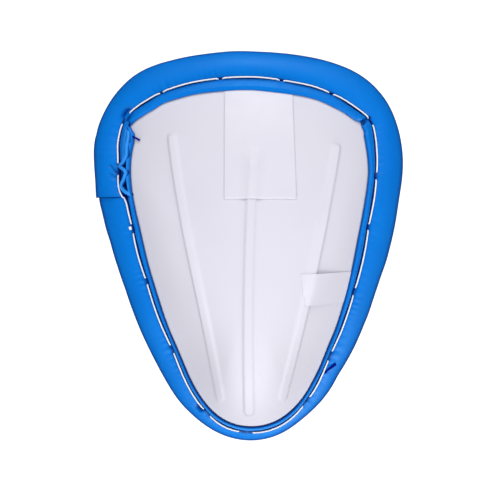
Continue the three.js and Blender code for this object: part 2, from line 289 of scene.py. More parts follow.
def from_segment(x, y, row):
    """Distance in plan from a straight line between two points, and the side that it is on."""
    start, end = np.array(row[:2]), np.array(row[2:4])
    way = end - start
    share = np.clip(((x - start[0]) * way[0] + (y - start[1]) * way[1]) / (way @ way), 0, 1)
    aside = x - start[0] - share * way[0]
    return np.hypot(aside, y - start[1] - share * way[1]), aside


def rib_share(rib, y):
    """The share of a rib's length that lies above this place."""
    return np.clip((y - rib.top_y) / (rib.foot_y - rib.top_y), 0, 1)


def rib_bow(rib, y):
    """How far aside of its straight line a rib runs."""
    share = rib_share(rib, y)
    return 4 * rib.bow * share * (1 - share) + rib.sway * np.sin(2 * np.pi * share)


def from_rib(x, y, rib):
    """Distance in plan from a rib's middle line, and the side that it is on."""
    return from_segment(x - rib_bow(rib, y), y, (rib.top_x, rib.top_y, rib.foot_x, rib.foot_y))


def rib_height(x, y):
    """Height of the ribs over the outer face; a rib's top is more level than the wall under it."""
    heights = []
    for rib in ribs.values():
        distance, aside = from_rib(x, y, rib)
        low = rib.fade * smoothstep(RIB_FADES_AT, 1, rib_share(rib, y))
        lean = rib.lean * (1 - LEAN_FADE * low) * np.clip(aside, -rib.foot, rib.foot)
        heights.append((RIB_HEIGHT * (1 - low) + lean) * (1 - smoothstep(rib.flat, rib.foot, distance)))
    return np.max(heights, axis=0)


# Meshes

# A ply's way from the thread's middle and its radius, as shares of the thread's, and its facets
PLY_ASIDE, PLY_RADIUS, PLY_SIDES = 0.48, 0.56, 7


def add_mesh(name, points, faces, material, **marks):
    """A smooth-shaded object from points in millimetres, with marks that its material reads."""
    mesh = bpy.data.meshes.new(name)
    mesh.from_pydata((np.asarray(points) * MM).tolist(), [], [list(map(int, face)) for face in faces])
    mesh.polygons.foreach_set("use_smooth", np.ones(len(mesh.polygons), bool))
    mesh.materials.append(material)
    for mark, values in marks.items():
        attribute = mesh.attributes.new(mark, "FLOAT", "POINT")
        attribute.data.foreach_set("value", np.asarray(values, np.float32).ravel())
    mesh.update()
    piece = bpy.data.objects.new(name, mesh)
    bpy.context.scene.collection.objects.link(piece)
    return piece


def grid_faces(rows, columns, close_rows=False, close_columns=False, start=0):
    """Quads between the points of a grid, counted along its columns first."""
    i, j = np.meshgrid(
        np.arange(rows if close_rows else rows - 1),
        np.arange(columns if close_columns else columns - 1),
        indexing="ij",
    )
    below, beside = (i + 1) % rows, (j + 1) % columns
    corners = [i * columns + j, below * columns + j, below * columns + beside, i * columns + beside]
    return np.stack(corners, -1).reshape(-1, 4) + start


def join(parts):
    """One list of points and faces from several."""
    points, faces, start = [], [], 0
    for part_points, part_faces in parts:
        points.append(part_points)
        faces.extend([[int(k) + start for k in face] for face in part_faces])
        start += len(part_points)
    return np.concatenate(points), faces


def refine(points):
    """Twice as many points round closed rows, on a smooth curve through the given ones."""
    after, beyond = np.roll(points, -1, 1), np.roll(points, -2, 1)
    middle = (9 * (points + after) - np.roll(points, 1, 1) - beyond) / 16
    return np.stack([points, middle], 2).reshape(len(points), -1, points.shape[2])


def smooth_path(points, step):
    """An open curve through a few points, at about this spacing."""
    points = np.asarray(points, float)
    padded = np.concatenate([2 * points[:1] - points[1:2], points, 2 * points[-1:] - points[-2:-1]])
    pieces = []
    for p0, p1, p2, p3 in zip(padded, padded[1:], padded[2:], padded[3:]):
        count = max(2, int(np.linalg.norm(p2 - p1) / step))
        u = (np.arange(count) / count)[:, None]
        bend = (2 * p0 - 5 * p1 + 4 * p2 - p3) * u**2 + (3 * p1 - p0 - 3 * p2 + p3) * u**3
        pieces.append(0.5 * (2 * p1 + (p2 - p0) * u + bend))
    return np.concatenate(pieces + [points[-1:]])


def around(path, ups, angle):
    """Directions square to a path, at angles from its side towards the ups."""
    tangent = unit(np.gradient(path, axis=0))
    side = unit(np.cross(tangent, np.broadcast_to(ups, path.shape)))
    up = np.cross(side, tangent)
    return np.cos(angle)[..., None] * side[:, None] + np.sin(angle)[..., None] * up[:, None]


def tube(path, ups, radius, sides=8):
    """A round tube along a path, closed at both ends; ups are directions to turn it by."""
    path = np.asarray(path, float)
    angle = 2 * np.pi * np.arange(sides) / sides
    radii = np.broadcast_to(np.asarray(radius, float), len(path))
    points = (path[:, None] + radii[:, None, None] * around(path, ups, angle[None])).reshape(-1, 3)
    faces = grid_faces(len(path), sides, close_columns=True).tolist()
    last = (len(path) - 1) * sides
    faces += [list(range(sides)), list(range(last + sides - 1, last - 1, -1))]
    return points, faces


def plied(path, ups, radius, pitch, plies=3):
    """Strands twisted round each other along a path, as in sewing thread."""
    path = np.asarray(path, float)
    travel = np.concatenate([[0], np.cumsum(np.linalg.norm(np.diff(path, axis=0), axis=1))])
    radii = np.broadcast_to(np.asarray(radius, float), len(path))
    angles = 2 * np.pi * (travel[:, None] / pitch + np.arange(plies) / plies)
    swings = around(path, ups, angles)
    strands = []
    for ply in range(plies):
        centre = path + PLY_ASIDE * radii[:, None] * swings[:, ply]
        strands.append(tube(centre, ups, PLY_RADIUS * radii, PLY_SIDES))
    return join(strands)


# Materials

MIX_INPUTS, MIX_OUTPUT = (0, 6, 7), 2  # the colour sockets of a mix node


def new_material(name, **sockets):
    """A principled material with these plain values on the shader's own sockets."""
    material = bpy.data.materials.new(name)
    material.use_nodes = True
    shader = material.node_tree.nodes["Principled BSDF"]
    for socket, value in sockets.items():
        shader.inputs[socket.replace("_", " ")].default_value = value
    return material, material.node_tree, shader


def feed(tree, socket, value):
    """Gives a socket a plain value, or a link from another socket."""
    if isinstance(value, bpy.types.NodeSocket):
        tree.links.new(value, socket)
    else:
        socket.default_value = value


def add_node(tree, kind, inputs=None, **settings):
    """A node with its settings, and its inputs as plain values or links from other sockets."""
    node = tree.nodes.new(kind)
    for name, value in settings.items():
        setattr(node, name, value)
    for name, value in (inputs or {}).items():
        feed(tree, node.inputs[name], value)
    return node


def mark(tree, name):
    """A value that the mesh carries at its points."""
    return add_node(tree, "ShaderNodeAttribute", attribute_name=name).outputs["Fac"]


def noise(tree, scale, detail=3.0, roughness=0.5, stretch=None):
    """Noise at a scale per metre of the object, as a value from 0 to 1."""
    place = add_node(tree, "ShaderNodeTexCoord").outputs["Object"]
    if stretch:
        place = add_node(tree, "ShaderNodeMapping", {"Vector": place, "Scale": stretch}).outputs[0]
    inputs = {"Vector": place, "Scale": scale, "Detail": detail, "Roughness": roughness}
    return add_node(tree, "ShaderNodeTexNoise", inputs).outputs["Fac"]


def spread(tree, value, low, high):
    """A noise value mapped to run between two numbers."""
    inputs = {"Value": value, "From Min": 0.3, "From Max": 0.7, "To Min": low, "To Max": high}
    return add_node(tree, "ShaderNodeMapRange", inputs).outputs["Result"]


def mix_colours(tree, share, first, second):
    node = add_node(tree, "ShaderNodeMix", data_type="RGBA")
    for socket, value in zip(MIX_INPUTS, (share, first, second)):
        feed(tree, node.inputs[socket], value)
    return node.outputs[MIX_OUTPUT]


def bump(tree, height, strength, distance, under=None):
    inputs = {"Height": height, "Strength": strength, "Distance": distance}
    if under is not None:
        inputs["Normal"] = under
    return add_node(tree, "ShaderNodeBump", inputs).outputs["Normal"]


def vinyl_material():
    """Smooth imitation leather with grain and mottling; a painted highlight on sharp folds and on the hem
    at the foot, and painted shade in creases and on its underside.
    """
    material, tree, shader = new_material("blue_vinyl", Specular_IOR_Level=0.07)
    shader.inputs["Specular Tint"].default_value = (0.45, 0.9, 1.0, 1)
    cloudy = spread(tree, noise(tree, 45), 0, 1)
    plain = mix_colours(tree, cloudy, (0.0004, 0.18, 0.70, 1), (0.0008, 0.2, 0.745, 1))
    # Painted highlight: the pale mark mixes in a paler blue where folds and the hem at the foot would catch
    # the light.
    painted_highlight = mix_colours(tree, mark(tree, "pale"), plain, (0.03, 0.31, 0.93, 1))
    # Painted shade: the under mark mixes in a darker blue where the roll turns to face down.
    turned = mix_colours(tree, mark(tree, "under"), painted_highlight, (0.0002, 0.07, 0.38, 1))
    # Painted shade: a deep navy is mixed in by the mark for creases, crevices and gaps.
    colour = mix_colours(tree, mark(tree, "crease_shade"), turned, (0.0002, 0.01, 0.15, 1))
    tree.links.new(colour, shader.inputs["Base Color"])
    tree.links.new(spread(tree, noise(tree, 260), 0.46, 0.58), shader.inputs["Roughness"])
    place = add_node(tree, "ShaderNodeTexCoord").outputs["Object"]
    cells = add_node(tree, "ShaderNodeTexVoronoi", {"Vector": place, "Scale": 1500.0})
    grain = bump(tree, cells.outputs["Distance"], 0.12, 0.00008)
    slack = bump(tree, noise(tree, 160, 2), 0.10, 0.0004, grain)
    tree.links.new(slack, shader.inputs["Normal"])
    return material


def plastic_material():
    """Satin moulded plastic, a lavender white with a little flow mottling and fine scuffs."""
    material, tree, shader = new_material("cup_plastic", Specular_IOR_Level=0.3)
    cloudy = spread(tree, noise(tree, 30, 4), 0, 1)
    colour = mix_colours(tree, cloudy, (0.74, 0.726, 0.816, 1), (0.76, 0.746, 0.832, 1))
    tree.links.new(colour, shader.inputs["Base Color"])
    tree.links.new(spread(tree, noise(tree, 180, 5), 0.5, 0.62), shader.inputs["Roughness"])
    flow = bump(tree, noise(tree, 55, 2), 0.06, 0.0006)
    skin = bump(tree, noise(tree, 2200, 2), 0.04, 0.00004, flow)
    scuffs = bump(tree, noise(tree, 900, 6, 0.7, (1.0, 0.12, 1.0)), 0.03, 0.00005, skin)
    tree.links.new(scuffs, shader.inputs["Normal"])
    return material


def film_material(name, light):
    """Satin plastic film with the faint ripples of a sheet that has been sewn down."""
    material, tree, shader = new_material(name, Specular_IOR_Level=0.45)
    cloudy = spread(tree, noise(tree, 70), 0, 1)
    low = (0.98 * light, 0.96 * light, 1.08 * light, 1)
    high = (light, 0.985 * light, 1.1 * light, 1)
    tree.links.new(mix_colours(tree, cloudy, low, high), shader.inputs["Base Color"])
    tree.links.new(spread(tree, noise(tree, 240, 4), 0.3, 0.42), shader.inputs["Roughness"])
    ripple = bump(tree, noise(tree, 140, 2, 0.5, (1.0, 0.35, 1.0)), 0.08, 0.0005)
    skin = bump(tree, noise(tree, 2600, 2), 0.05, 0.00003, ripple)
    tree.links.new(skin, shader.inputs["Normal"])
    return material


def thread_material(name, light, dark, sheen, glow):
    """Spun thread: soft, matt and slightly hairy; the glow is painted light, an emission that makes white
    thread brighter than its lighting.
    """
    material, tree, shader = new_material(name, Roughness=0.8, Specular_IOR_Level=0.1, Sheen_Weight=sheen)
    # Painted light: the thread glows by emission though it is no lamp.
    shader.inputs["Emission Color"].default_value = light
    shader.inputs["Emission Strength"].default_value = glow
    fibres = spread(tree, noise(tree, 3500, 4), 0, 1)
    tree.links.new(mix_colours(tree, fibres, dark, light), shader.inputs["Base Color"])
    tree.links.new(bump(tree, fibres, 0.25, 0.00006), shader.inputs["Normal"])
    return material


# The cup

CUP_EDGE_POINTS = 320
CUP_PITCH = 1.7  # of the points between the ribs
RIB_PITCH = 1.0
RIB_LINES = (0.55, 1.0, 1.35, 1.7, 2.05, 2.4, 2.75, 3.1)  # offsets from a rib's middle line
RIB_END_PITCH = 0.7  # of the points round a rib's ends, as a share of RIB_PITCH
PLAN_X, PLAN_Y = (-60, 60), (-82, 76)  # sides of the box in plan that is sampled
RIB_CLEAR, EDGE_CLEAR = 0.4, 0.5  # room left at the ribs and at the edge, as shares of CUP_PITCH
INNER_SHARES = np.linspace(1, 0, 26)[1:-1]


def rib_points(rib):
    """Points on lines round a rib, closer together than the rib's own rounding."""
    start, end = np.array([rib.top_x, rib.top_y]), np.array([rib.foot_x, rib.foot_y])
    way = unit(end - start)
    side = np.array([-way[1], way[0]])
    length = np.linalg.norm(end - start)
    straight = np.arange(0, length, RIB_PITCH)
    points = [start + straight[:, None] * way]
    for offset in RIB_LINES:
        for sign in (1, -1):
            points.append(start + straight[:, None] * way + sign * offset * side)
        turn = np.linspace(0, np.pi, max(5, int(np.pi * offset / (RIB_END_PITCH * RIB_PITCH))))
        arc = np.sin(turn)[:, None] * way + np.cos(turn)[:, None] * side
        points += [end + offset * arc, start - offset * arc]
    points = np.concatenate(points)
    points[:, 0] += rib_bow(rib, points[:, 1])
    return points


def plan_points():
    """Where the cup's outer face is sampled, in plan, with its edge first."""
    edge = stations_at(place_at(np.arange(CUP_EDGE_POINTS) * PERIMETER / CUP_EDGE_POINTS))
    xs = np.arange(*PLAN_X, CUP_PITCH)
    ys = np.arange(*PLAN_Y, CUP_PITCH * math.sqrt(3) / 2)
    x, y = np.meshgrid(xs, ys)
    x = x + np.where(np.arange(len(ys)) % 2, CUP_PITCH / 2, 0)[:, None]
    points = [np.stack([x.ravel(), y.ravel()], 1)]
    for rib in ribs.values():
        distance, _ = from_rib(points[0][:, 0], points[0][:, 1], rib)
        clear = distance > RIB_LINES[-1] + RIB_CLEAR * CUP_PITCH
        points[0] = points[0][clear]
        points.append(rib_points(rib))
    inner = np.concatenate(points)
    dx, dy = inner[:, 0] - CROWN[0], inner[:, 1] - CROWN[1]
    reach = by_bearing(np.arctan2(dy, dx), np.linalg.norm(fine.ray, axis=1))
    inner = inner[np.hypot(dx, dy) < reach - EDGE_CLEAR * CUP_PITCH]
    return edge, np.concatenate([edge.stitch[:, :2], inner])


def make_cup(material):
    """The shell: a finely sampled outer face with its ribs, the hidden edge, and a smooth inside."""
    edge, plan = plan_points()
    count = CUP_EDGE_POINTS
    outline = [list(range(count))]
    found, _, faces, origin, _, _ = delaunay_2d_cdt(plan.tolist(), [], outline, 1, 1e-5)
    flat = np.array(found)
    rank = {source: k for k, sources in enumerate(origin) for source in sources}
    face_ring = [rank[i] for i in range(count)]
    outer = over_cup(flat[:, 0], flat[:, 1], rib_height(flat[:, 0], flat[:, 1]))
    outer[face_ring] = edge.stitch
    rings = [
        edge.stitch + EDGE_REACH * edge.down,
        edge.stitch + EDGE_REACH * edge.down - WALL * edge.normal,
        edge.stitch - WALL * edge.normal,
    ]
    for share in INNER_SHARES:
        x, y = (CROWN[:2] + share * edge.ray).T
        rings.append(over_cup(x, y, np.full(count, -WALL)))
    points = np.concatenate([outer, *rings, CROWN[None] - [[0, 0, WALL]]])
    first = len(outer)
    faces = [list(face) for face in faces]
    if np.cross(flat[faces[0][1]] - flat[faces[0][0]], flat[faces[0][2]] - flat[faces[0][0]]) < 0:
        faces = [face[::-1] for face in faces]
    for i in range(count):
        j = (i + 1) % count
        faces.append([face_ring[i], face_ring[j], first + j, first + i])
        for ring in range(len(rings) - 1):
            here = first + ring * count
            faces.append([here + i, here + j, here + count + j, here + count + i])
        last = first + (len(rings) - 1) * count
        faces.append([last + i, last + j, len(points) - 1])
    return add_mesh("cup_shell", points, faces, material)


# The padded binding

# Where the thread goes through, as a bearing, and half the way along the rim that it stays hidden
STITCH_ROWS = [
    (9.3, 1.2), (29.5, 1.5), (46.5, 1.6), (62, 0.9), (79.3, 0.8), (100, 0.8), (120, 0.6), (133.6, 2.45),
    (148.6, 2.4), (171.4, 1.9), (199, 1.2), (233.6, 1.75), (256, 1.95), (268.8, 2.6), (289.3, 2.4),
    (305.7, 2.1), (336, 1.5),
]
TABLE_BLUR, HEM_BLUR, SHARE_BLUR = 2.0, 0.4, 0.8  # rounding along the rim of the tables below
PINCH = 1.6  # half the way along the rim over which a stitch hole draws the vinyl together
PUFF = 5.0  # and over which the roll is flattened by it
SEAM_BASE = -0.8  # the groove lies this far up the wall from the stitch line
# Bearing, and how far outward the groove strays there in plan
SEAM_ROWS = [
    (92, 0.2), (97, 0.35), (112, 0.45), (120, 0.5), (125, 0.2), (130, 1.2), (132, 2.2), (134.5, 2.6),
    (140, 1.85), (145, 1.0), (155, 1.5), (160, -0.35), (166, 0.0), (175, 0.2), (190, 0.0), (262, 0.0),
    (270, 0.3), (285, 0.15), (292, 0.0), (300, -0.4), (310, -0.3), (316, 0.0), (330, 0.0), (2, 0.3),
    (15, 0.15), (29, 0.4), (38, 0.35), (42, 0.9), (46.5, 2.1), (49, 1.2), (52, 0.35), (55, 0.1),
    (60, 0.3), (68, 0.5), (76, 0.1), (88, 0.2),
]
# Bearing, and how much wider the hem is there in plan
HEM_ROWS = [
    (92, -0.25), (108, -0.25), (115, -0.05), (120, -0.3), (125, 0.2), (130, -0.6), (135.2, -2.5),
    (137.4, 0.5), (141, 1.0), (146, 0.5), (152, 0.2), (158, 0.0), (165, -0.25), (200, -0.3),
    (228, -0.45), (245, -0.35), (262, 0.0), (285, -0.15), (290, -0.1), (296, 0.15), (300, 0.0),
    (310, 0.1), (317, -0.2), (345, 0.1), (2, 0.15), (20, -0.05), (30, -0.45), (39, 0.05),
    (42.5, -0.1), (44, -0.8), (46, -0.7), (47.8, -1.4), (48.6, -1.0), (50, -0.2), (52, 0.1),
    (60, 0.2), (66, -0.15), (80, -0.2), (88, -0.3),
]
SWELL_BASE = 0.12  # how far the roll swells outward all round
# Bearing, and how much further the roll swells outward there
SWELL_ROWS = [
    (90, 0.0), (97, 0.1), (102, -0.15), (115, -0.45), (125, 0.1), (130, -0.05), (134, 0.15), (138, 0.8),
    (141, 0.5), (145, -0.2), (149, -0.35), (153, 0.1), (157, 0.9), (160, 1.4), (162, 1.1), (165, 0.7),
    (167, 0.6), (170, 0.4), (175, 0.0), (181, 0.3), (186, 0.4), (195, 0.3), (200, 0.0), (236, -0.05),
    (244, -0.15), (251, 0.3), (265, 0.15), (272, 0.0), (278, -0.3), (281.5, -0.6), (284, -0.55),
    (288, 0.05), (291, 0.65), (295, 0.8), (299.5, 0.0), (304, 0.05), (311, 0.1), (320, 0.2), (327, 0.45),
    (335, 0.15), (345, 0.0), (355, 0.35), (1, 0.25), (8, 0.2), (16, 0.1), (22, -0.05), (27, -0.2),
    (31, -0.12), (37, 0.05), (45, -0.2), (58, 0.05), (72, -0.2), (85, 0.0),
]
SPLIT_ROWS = [(135.6, 0.0), (137, 1.0), (158, 1.0), (160, 0.0)]  # bearing, share of a doubled hem
CAVITY_ROWS = [(146.5, 0.0), (148, 1.0), (157.5, 1.0), (159.5, 0.0)]  # bearing, share of a sunken hem
# The hem's face from its edge to the groove: the share of its width and the way past that, its height
# as a share of its thickness, and what a steep wall, a doubled hem, a sunken hem and a stitch hole add
# to the height; how dark it is painted as shade, more on a steep wall by a power, and at least in a
# doubled and a sunken hem; and how pale it is painted as a highlight in a doubled hem and on a steep wall
HEM_PROFILE_COLUMNS = (
    "at", "past", "high", "steep", "split", "sunk", "pinch",
    "dark", "dark_steep", "power", "dark_split", "dark_sunk", "pale_split", "pale_steep",
)
HEM_PROFILE_ROWS = [
    (0, 0.9, 0.1, 0, 0, 0, 0, 0.5, 0.5, 1, 0, 0, 0, 0),
    (0, 0.15, 0, -0.08, 0, 0, 0, 0.4, 0.6, 1, 0, 0, 0, 0),
    (0, 0.02, 0.12, 0, 0, 0, 0, 0.1, 0.8, 1, 0, 0, 0, 0),
    (0.03, 0, 0.36, 0, 0, 0, 0, 0, 0.75, 1, 0, 0, 0, 0),
    (0.09, 0, 0.64, 0, 0, 0, 0, 0, 0.3, 2, 0, 0, 0, 0.6),
    (0.16, 0, 0.86, 0, 0, 0, 0, 0, 0, 1, 0, 0, 0.5, 1),
    (0.23, 0, 1.02, 0, -0.03, 0, 0, 0, 0, 1, 0, 0, 0.5, 1),
    (0.3, 0, 1.07, 0, -0.35, 0, 0, 0, 0, 1, 0.75, 0, 0, 1),
    (0.38, 0, 1.07, 0, -1.1, 0, 0, 0, 0, 1, 1, 0, 0, 0.5),
    (0.46, 0, 1.06, 0, -0.4, -0.55, 0, 0, 0, 1, 0.7, 1, 0, 0),
    (0.56, 0, 1.04, 0, 0.1, -0.95, 0, 0, 0, 1, 0, 1, 0.8, 0),
    (0.72, 0, 1.0, 0, 0.12, -0.95, -0.12, 0, 0, 1, 0, 1, 0, 0),
    (1, -0.3, 0.9, 0, 0, -0.7, -0.2, 0.25, 0, 1, 0, 1, 0, 0),
    (1, 0, 0.66, 0, 0, -0.5, -0.2, 0.85, 0, 1, 0, 0, 0, 0),
    (1, 0.1, 0.3, 0, 0, -0.2, -0.15, 1.0, 0, 1, 0, 0, 0, 0),
]
# Steepness of the wall from and to which the hem's edge leans, its painted shade grows and its painted
# highlight grows
HEM_LEANS, HEM_SHADES, HEM_SHINES, SHINE_POWER = (0, 0.6), (0.2, 0.7), (0.6, 1.0), 1.5
GROOVE_PAST, GROOVE_HIGH, GROOVE_PINCH = 0.1, 0.15, 0.4
# The roll beside the thread is painted darker, as the shade that the thread and groove cast on it.
RIDE_DARK = (-7, 1)  # degrees round the roll from the thread, over which the roll darkens
# The hem on the body side: whether a row starts at the groove or at the stitch line, its way down the
# wall and out from it, and its darkness, painted shade in the groove
BACK_ROWS = [
    (True, -0.3, -0.25, 0.8),
    (True, -0.8, -0.8, 0),
    (True, -1.3, -1.3, 0),
    (False, -3.0, -2.0, 0),
    (False, -4.4, -2.2, 0),
    (False, -5.0, -1.7, 0),
    (False, -4.9, -1.2, 0),
    (False, -3.8, -0.6, 0),
    (False, 0, 0, 0),
    (False, EDGE_REACH + GAP, 0, 0),
]
HEM_THICK = 1.5
LAP_Y, LAP_LENGTH, LAP_EXTRA = 20.7, 26.0, 1.2
# The lap's edge gets a painted shadow line on its lower side: its way along the rim, half width and
# darkness.
LAP_LINE, LAP_LINE_HALF, LAP_DARK = -0.2, 0.3, 0.9  # the dark line at its edge
LAP_REACH = 13.0  # along the rim, how far the level edge of the lap draws the vinyl with it
ROLL_ANGLES = (164, 156, 148, 139, 129, 117, 103, 88, 72, 56, 40, 24, 8)  # and the same below the wall
SWELL_TURN = math.radians(38)  # how far round the roll its swelling between stitches reaches
RING_COUNT = 900
OVER_CUP = 36  # columns from the hem's edge to the roll's flank, which have the cup under them
# Puckers beside the groove: where on the roll they are, and how far round it they reach, and their
# spacing along the rim, height near the holes and height elsewhere
PUCKER_ANGLE, PUCKER_TURN = 140, math.radians(16)
PUCKER_STEP, PUCKER_HEIGHT, PUCKER_LEAST = 2.9, 0.16, 0.03
PUCKER_REACH, PUCKER_STRAY = 8.0, 2.5  # way from a hole that they crowd at, and uneven spacing
# At the right corner one end of the hem lies over the other: way along the rim, width, and the
# share that the hem is thicker there
CORNER_BEARING = 48.0
CORNER_ROWS = [(-1.6, 1.8, 0.25), (1.4, 1.3, -0.4)]
HEM_WAVE = 0.08
# How far the roll grows out at its flanks between the holes and at them, and all over at random
GROW_PUFF, GROW_PINCH, GROW_WANDER = 0.45, 0.5, 0.1
# The roll is painted darker where it turns under, as painted shade: from and to which share of the roll,
# and which upward turn of it
UNDER_ROLL, UNDER_TURN = (0.1, 0.3), (0.24, 0.54)
LAP_CLUSTER = (-0.9, -0.5, -0.25, -0.1, -0.03, 0.03, 0.1, 0.25, 0.5, 0.9)
THREAD_RADIUS = 0.34
# Where the thread lies on the roll: at the waist, and how much further out at the foot
RIDE_ANGLE, RIDE_TURN, RIDE_POWER = 156, -15, 2.5
CREVICE, CREVICE_ASIDE = 0.5, 0.7  # gap seen between hem and thread, and share lost at the sides
# The hem's lip at the groove: how far a hole draws it out, its height as a share of the hem's thickness,
# the least width of the hem, and the way that it stays clear of the groove's middle
LIP_PINCH, LIP_HIGH, HEM_LEAST, LIP_CLEAR = 0.35, 0.86, 1.4, 0.35

SEEN_TURN = (0.05, 0.4)  # upward turn of the vinyl from and to which creases are pressed into it
# Creases and dents pressed into the binding: x, y, x, y of a line in plan, width, depth, and the darkness
# of the shade painted in them
CREASE_ROWS = {
    "right_dart": (47.6, 52.4, 50.9, 54.7, 0.55, 1.3, 0.85),
    "right_notch": (48.3, 51.6, 49.4, 52.9, 0.45, 0.8, 0.9),
    "left_dimple": (-53.2, 55.2, -52.2, 57.0, 1.5, 2.0, 0.85),
    "left_fold": (-51.4, 51.2, -52.4, 55.0, 0.5, 1.1, 0.85),
    "left_gap": (-51.7, 47.6, -51.6, 44.4, 0.5, 0.9, 0.9),
    "roll_crease_upper": (-59.4, 34.0, -56.9, 30.9, 0.5, 0.7, 0.45),
    "roll_crease_lower": (-59.6, 30.4, -57.0, 28.8, 0.7, 0.45, 0.2),
    "foot_dimple": (-22.3, -68.7, -21.0, -69.8, 0.95, 1.7, 0.95),
}

# The roll's cover as cloth: pitch along the rim, columns that are free to move, how much smaller it
# starts and how far it may end from the fine shape, in millimetres, and its units to a millimetre
CLOTH_PITCH = 2.0
CLOTH_FIRST, CLOTH_LAST = 18, 41
CLOTH_SLACK, CLOTH_MOST = 0.15, 0.7
CLOTH_SCALE = 0.1
CLOTH_PRESSURE = 4.0
CLOTH_FRAMES = 20
CLOTH_BLUR = 8  # rows along the rim over which its movement is evened out

stitch_places = travel_at([row[0] for row in STITCH_ROWS])
stitch_order = np.argsort(stitch_places)
stitch_travel = stitch_places[stitch_order]
stitch_hidden = np.array([row[1] for row in STITCH_ROWS])[stitch_order]
left_side = fine.stitch[:, 0] < 0
lap_travel = fine_travel[:-1][left_side][np.argmin(np.abs(fine.stitch[left_side, 1] - LAP_Y))]


def by_table(travel, rows, blur):
    """A value along the rim from rows of bearing and value, with its corners rounded off."""
    marks = travel_at([row[0] for row in rows])
    values = np.array([row[1] for row in rows], float)
    order = np.argsort(marks)
    offsets = np.linspace(-blur, blur, 9)
    looks = [np.interp((travel + o) % PERIMETER, marks[order], values[order]) for o in offsets]
    return np.mean(looks, axis=0)


def pinch_at(travel, width):
    """1 at the nearest stitch hole, falling to 0 over a width along the rim."""
    return np.exp(-((apart(travel[:, None], stitch_travel[None]) / width) ** 2)).max(axis=1)


def wander(travel, turns, phase):
    """A slow, closed wobble along the rim, between about -1 and 1."""
    angle = 2 * np.pi * travel / PERIMETER
    return sum(np.sin(k * angle + phase * k * k) for k in turns) / math.sqrt(len(turns))


def lap_extra(travel):
    """How far the lapped end stands over the other: most at its edge, thinning away from it."""
    above = apart(travel, lap_travel)
    inside = (above > 0) & (above < LAP_LENGTH)
    return np.where(inside, LAP_EXTRA * np.sqrt(np.clip(1 - above / LAP_LENGTH, 0, 1)), 0)


def sewn_stations(travel):
    """Stations with all that the sewing changes along the rim."""
    s = stations_at(place_at(travel))
    s.travel = travel
    s.pinch = pinch_at(travel, PINCH)
    s.puff = 1 - pinch_at(travel, PUFF)
    s.corner = np.ones_like(travel)
    s.seam = SEAM_BASE + by_table(travel, SEAM_ROWS, TABLE_BLUR) / np.cos(s.slope)
    uneven = 0.6 + 0.4 * wander(travel, (19, 27), 0.4)
    crowd = PUCKER_LEAST + PUCKER_HEIGHT * pinch_at(travel, PUCKER_REACH) * uneven
    strayed = PUCKER_STRAY * wander(travel, (6, 11, 16), 0.9)
    s.pucker = crowd * np.sin(2 * np.pi * travel / PUCKER_STEP + strayed)
    s.split = by_table(travel, SPLIT_ROWS, SHARE_BLUR)
    s.cavity = by_table(travel, CAVITY_ROWS, SHARE_BLUR)
    s.lap = lap_extra(travel)
    s.swell = s.swell + SWELL_BASE + by_table(travel, SWELL_ROWS, TABLE_BLUR)
    wavy = HEM_WAVE * wander(travel, (7, 11, 17), 1.3)
    s.hem = s.hem + by_table(travel, HEM_ROWS, HEM_BLUR) / np.cos(s.slope) + wavy
    s.hem_thick = HEM_THICK * (1 - 0.1 * s.steep + 0.06 * wander(travel, (9, 14, 23), 0.7))
    s.ride = RIDE_ANGLE + RIDE_TURN * np.clip(s.steep, 0, 1) ** RIDE_POWER
    corner = apart(travel, travel_at(CORNER_BEARING))
    for place, width, thicker in CORNER_ROWS:
        s.corner = s.corner + thicker * np.exp(-(((corner - place) / width) ** 2))
    s.hem_thick = s.hem_thick * s.corner
    return s


def on_wall(s, down, out):
    """Points this far down the wall from the stitch line, and out from its face."""
    return s.stitch + down[:, None] * s.down + out[:, None] * s.normal


def roll_point(s, angle):
    """A point on the roll's section: down the wall and out from it, at an angle round the roll."""
    near = np.exp(-(((np.pi - np.abs(angle)) / SWELL_TURN) ** 2))
    grow = near * (GROW_PUFF * s.puff + GROW_PINCH * s.pinch)
    grow = grow + GROW_WANDER * wander(s.travel, (5, 8, 13), 2.1)
    beside = np.exp(-(((math.radians(PUCKER_ANGLE) - np.abs(angle)) / PUCKER_TURN) ** 2))
    grow = grow + beside * s.pucker
    half_length = (s.length + s.lap - s.seam) / 2 + grow
    half_thick = s.thick / 2 + s.lap + grow
    middle = (s.length + s.lap + s.seam) / 2
    return middle + half_length * np.cos(angle), WALL_MIDDLE + half_thick * np.sin(angle)


def thread_place(s, sway):
    """Where the thread lies: against the roll's flank, just clear of the hem."""
    angle = np.radians(s.ride - sway)
    down, out = roll_point(s, angle)
    lean = unit(np.stack([np.cos(angle) / s.length, np.sin(angle) / s.thick], 1))
    return down + THREAD_RADIUS * lean[:, 0], out + THREAD_RADIUS * lean[:, 1]


def lip_place(s):
    """How far down the wall the hem ends at the groove, so that a dark gap shows beside the thread."""
    down, out = thread_place(s, 0)
    flat, tall = np.cos(s.slope), np.sin(s.slope)
    gap = CREVICE * (1 - CREVICE_ASIDE * s.outward[:, 0] ** 2)
    seen = down * flat + out * tall - THREAD_RADIUS - gap + LIP_PINCH * s.pinch
    lip = (seen - (GAP + LIP_HIGH * s.hem_thick) * tall) / flat
    return np.clip(lip, HEM_LEAST - s.hem, s.seam - LIP_CLEAR)


def wall_bend(s):
    """How far the wall has bent in from its line at the stitches, at the hem's edge."""
    line = s.stitch - s.hem[:, None] * s.down
    return (cup_height(line[:, 0], line[:, 1]) - line[:, 2]) * s.normal[:, 2]


